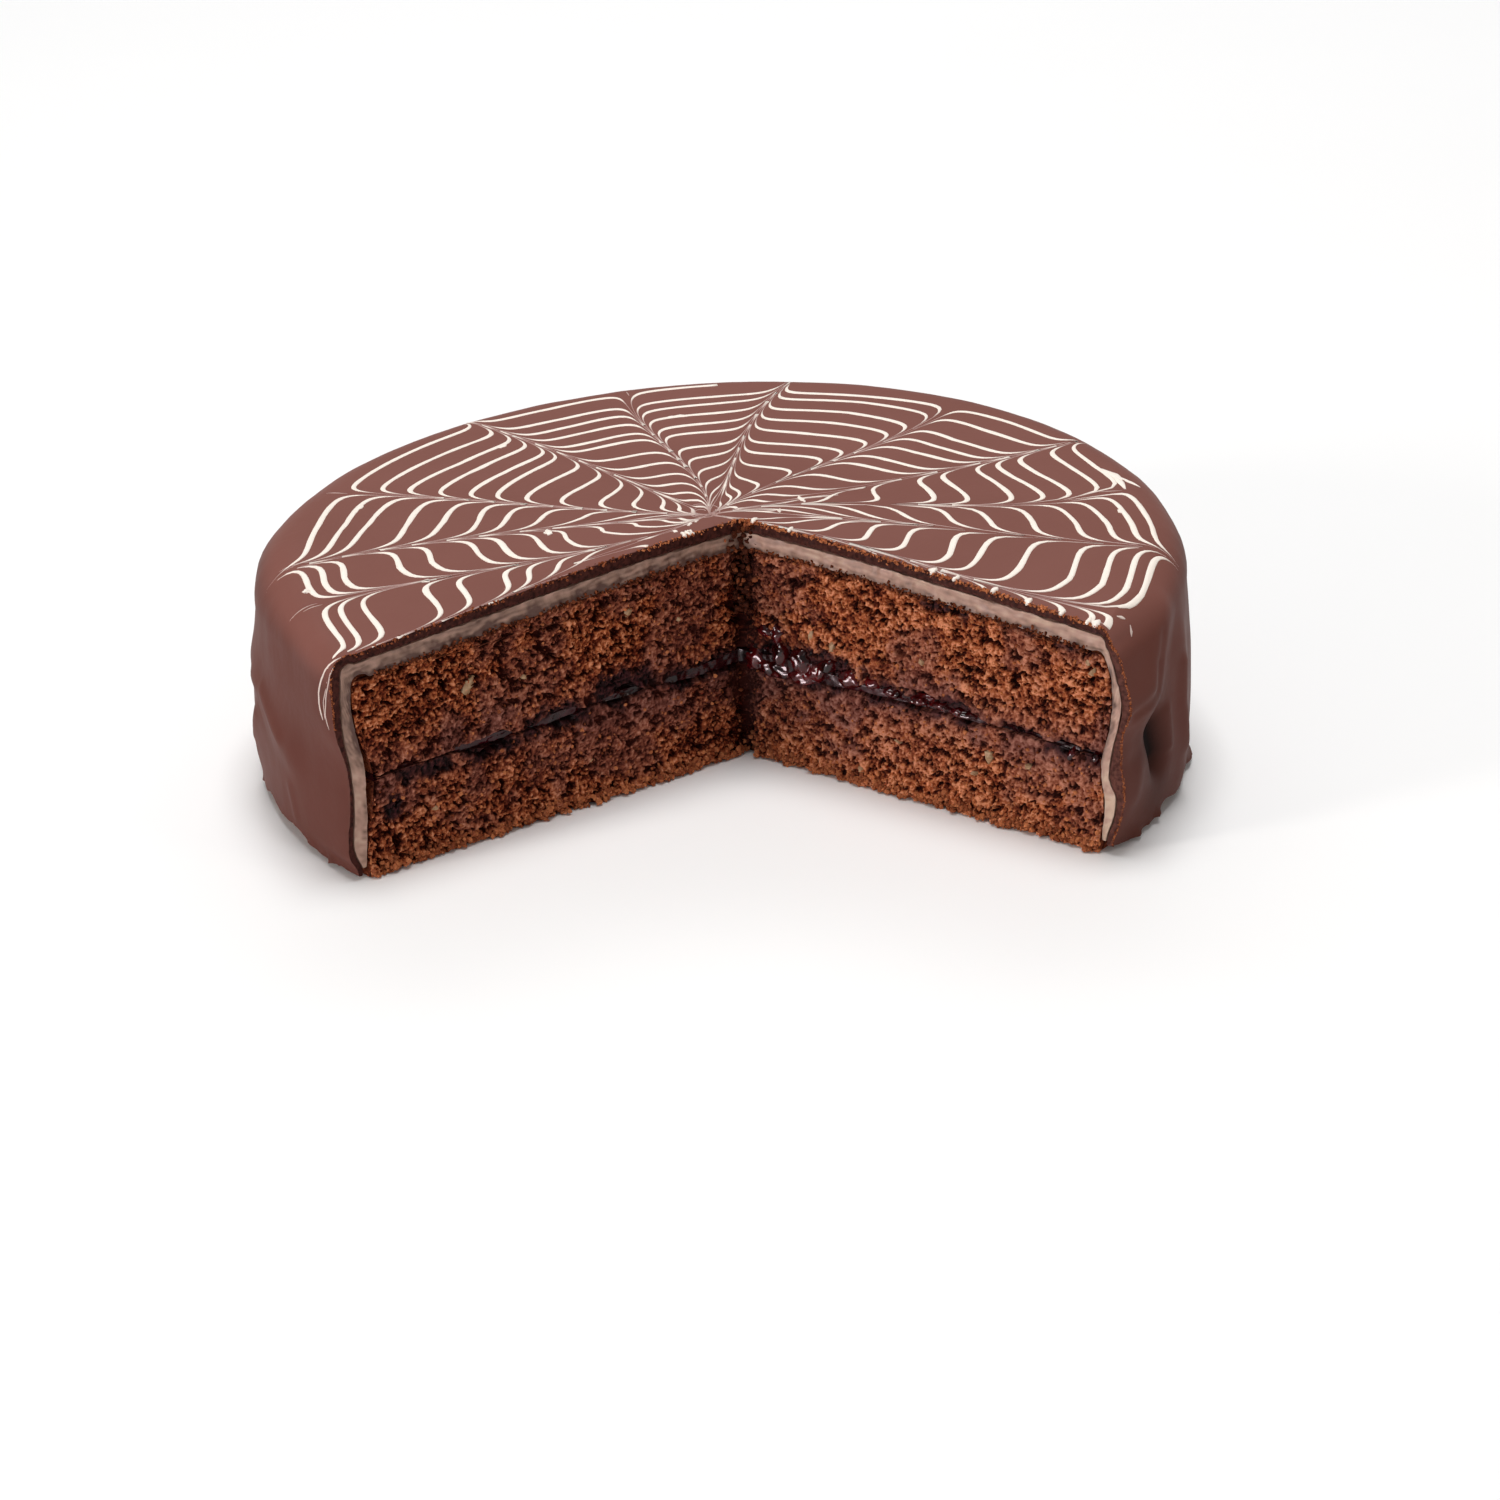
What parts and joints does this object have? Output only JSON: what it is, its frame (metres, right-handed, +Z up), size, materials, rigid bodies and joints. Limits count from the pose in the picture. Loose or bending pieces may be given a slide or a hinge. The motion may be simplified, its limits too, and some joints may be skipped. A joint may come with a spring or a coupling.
{
  "type": "walnut torte",
  "caption": "Round walnut torte with a wedge cut out: sponge layers, jam filling, marzipan cover and a chocolate coat with a feathered spider-web icing.",
  "frame": {"origin": "middle of the cake's footprint, on the surface it stands on", "axes": "+Z up, -Y towards the cut-out, +X to the right of someone who looks into the cut"},
  "size_m": [0.2441, 0.1844, 0.0682],
  "materials": {
    "sponge": "moist chocolate and walnut sponge, open crumb",
    "jam": "dark red fruit jam, wet gloss",
    "marzipan": "grey-beige marzipan, soft satin",
    "chocolate": "poured chocolate coat, satin, with pale icing drawn into it"
  },
  "bodies": {
    "root": {"sponge_bottom": "sponge", "jam_filling": "jam", "sponge_top": "sponge", "marzipan_cover": "marzipan", "chocolate_coat": "chocolate"}
  },
  "joints": []
}
